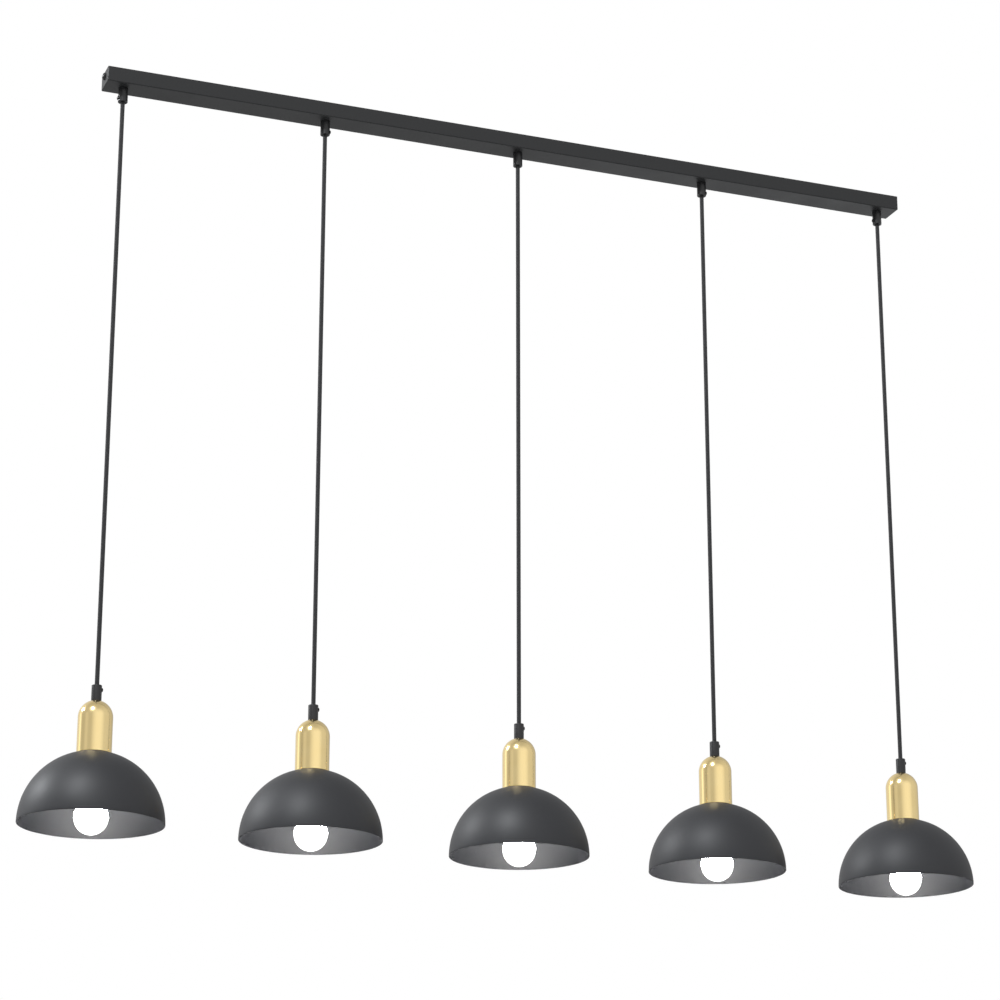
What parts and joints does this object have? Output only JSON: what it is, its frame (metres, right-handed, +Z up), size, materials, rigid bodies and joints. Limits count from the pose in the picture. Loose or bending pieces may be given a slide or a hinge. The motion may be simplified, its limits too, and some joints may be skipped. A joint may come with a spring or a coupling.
{
  "type": "linear pendant light",
  "caption": "Linear pendant light: a slim ceiling bar with hanging domed shades on cords, each with a polished cup, a lampholder and a globe bulb.",
  "frame": {"origin": "on the ceiling, at the middle of the bar's top face", "axes": "+X along the bar, -Y towards the viewer, +Z up to the ceiling"},
  "size_m": [1.44, 0.2, 1.1305],
  "materials": {
    "black_paint": "satin",
    "zinc_steel": "satin",
    "black_screw": "satin",
    "grip_paint": "satin",
    "tube_brass": "plain",
    "cup_brass": "polished",
    "shade_paint": "satin",
    "holder_plastic": "matte",
    "box_plastic": "matte",
    "cord_sheath": "matte",
    "opal_glass": "satin"
  },
  "bodies": {
    "canopy": {"canopy": "black_paint", "ceiling_strip": "zinc_steel", "end_screws": "black_screw", "upper_grips": "grip_paint", "upper_grip_screws": "black_screw", "short_tubes": "tube_brass", "locknuts": "zinc_steel", "connector_box": "box_plastic", "earth_terminal": "tube_brass", "inner_leads": "cord_sheath"},
    "cord_top_1": {"cord_top_1": "cord_sheath"},
    "pendant_1": {"cord_1": "cord_sheath", "grip_1": "grip_paint", "grip_screw_1": "black_screw", "threaded_tube_1": "tube_brass", "cup_1": "cup_brass", "shade_1": "shade_paint", "lampholder_1": "holder_plastic", "contacts_1": "tube_brass"},
    "bulb_1": {"bulb_1": "opal_glass"},
    "cord_top_2": {"cord_top_2": "cord_sheath"},
    "pendant_2": {"cord_2": "cord_sheath", "grip_2": "grip_paint", "grip_screw_2": "black_screw", "threaded_tube_2": "tube_brass", "cup_2": "cup_brass", "shade_2": "shade_paint", "lampholder_2": "holder_plastic", "contacts_2": "tube_brass"},
    "bulb_2": {"bulb_2": "opal_glass"},
    "cord_top_3": {"cord_top_3": "cord_sheath"},
    "pendant_3": {"cord_3": "cord_sheath", "grip_3": "grip_paint", "grip_screw_3": "black_screw", "threaded_tube_3": "tube_brass", "cup_3": "cup_brass", "shade_3": "shade_paint", "lampholder_3": "holder_plastic", "contacts_3": "tube_brass"},
    "bulb_3": {"bulb_3": "opal_glass"},
    "cord_top_4": {"cord_top_4": "cord_sheath"},
    "pendant_4": {"cord_4": "cord_sheath", "grip_4": "grip_paint", "grip_screw_4": "black_screw", "threaded_tube_4": "tube_brass", "cup_4": "cup_brass", "shade_4": "shade_paint", "lampholder_4": "holder_plastic", "contacts_4": "tube_brass"},
    "bulb_4": {"bulb_4": "opal_glass"},
    "cord_top_5": {"cord_top_5": "cord_sheath"},
    "pendant_5": {"cord_5": "cord_sheath", "grip_5": "grip_paint", "grip_screw_5": "black_screw", "threaded_tube_5": "tube_brass", "cup_5": "cup_brass", "shade_5": "shade_paint", "lampholder_5": "holder_plastic", "contacts_5": "tube_brass"},
    "bulb_5": {"bulb_5": "opal_glass"}
  },
  "joints": [
    {"name": "swing_side_1", "type": "hinge", "parent": "canopy", "child": "cord_top_1", "pos_m": [-0.62, 0, -0.04522], "axis": [0, -1, 0], "range_deg": [-30, 5.5]},
    {"name": "swing_front_1", "type": "hinge", "parent": "cord_top_1", "child": "pendant_1", "pos_m": [-0.62, 0, -0.06022], "axis": [1, 0, 0], "range_deg": [-45, 45]},
    {"name": "bulb_out_1", "type": "slide", "parent": "pendant_1", "child": "bulb_1", "axis": [0, 0, -1], "range_m": [0, 0.085]},
    {"name": "swing_side_2", "type": "hinge", "parent": "canopy", "child": "cord_top_2", "pos_m": [-0.31, 0, -0.04522], "axis": [0, -1, 0], "range_deg": [-5.5, 5.5]},
    {"name": "swing_front_2", "type": "hinge", "parent": "cord_top_2", "child": "pendant_2", "pos_m": [-0.31, 0, -0.06022], "axis": [1, 0, 0], "range_deg": [-45, 45]},
    {"name": "bulb_out_2", "type": "slide", "parent": "pendant_2", "child": "bulb_2", "axis": [0, 0, -1], "range_m": [0, 0.085]},
    {"name": "swing_side_3", "type": "hinge", "parent": "canopy", "child": "cord_top_3", "pos_m": [0, 0, -0.04522], "axis": [0, -1, 0], "range_deg": [-5.5, 5.5]},
    {"name": "swing_front_3", "type": "hinge", "parent": "cord_top_3", "child": "pendant_3", "pos_m": [0, 0, -0.06022], "axis": [1, 0, 0], "range_deg": [-45, 45]},
    {"name": "bulb_out_3", "type": "slide", "parent": "pendant_3", "child": "bulb_3", "axis": [0, 0, -1], "range_m": [0, 0.085]},
    {"name": "swing_side_4", "type": "hinge", "parent": "canopy", "child": "cord_top_4", "pos_m": [0.31, 0, -0.04522], "axis": [0, -1, 0], "range_deg": [-5.5, 5.5]},
    {"name": "swing_front_4", "type": "hinge", "parent": "cord_top_4", "child": "pendant_4", "pos_m": [0.31, 0, -0.06022], "axis": [1, 0, 0], "range_deg": [-45, 45]},
    {"name": "bulb_out_4", "type": "slide", "parent": "pendant_4", "child": "bulb_4", "axis": [0, 0, -1], "range_m": [0, 0.085]},
    {"name": "swing_side_5", "type": "hinge", "parent": "canopy", "child": "cord_top_5", "pos_m": [0.62, 0, -0.04522], "axis": [0, -1, 0], "range_deg": [-5.5, 30]},
    {"name": "swing_front_5", "type": "hinge", "parent": "cord_top_5", "child": "pendant_5", "pos_m": [0.62, 0, -0.06022], "axis": [1, 0, 0], "range_deg": [-45, 45]},
    {"name": "bulb_out_5", "type": "slide", "parent": "pendant_5", "child": "bulb_5", "axis": [0, 0, -1], "range_m": [0, 0.085]}
  ]
}
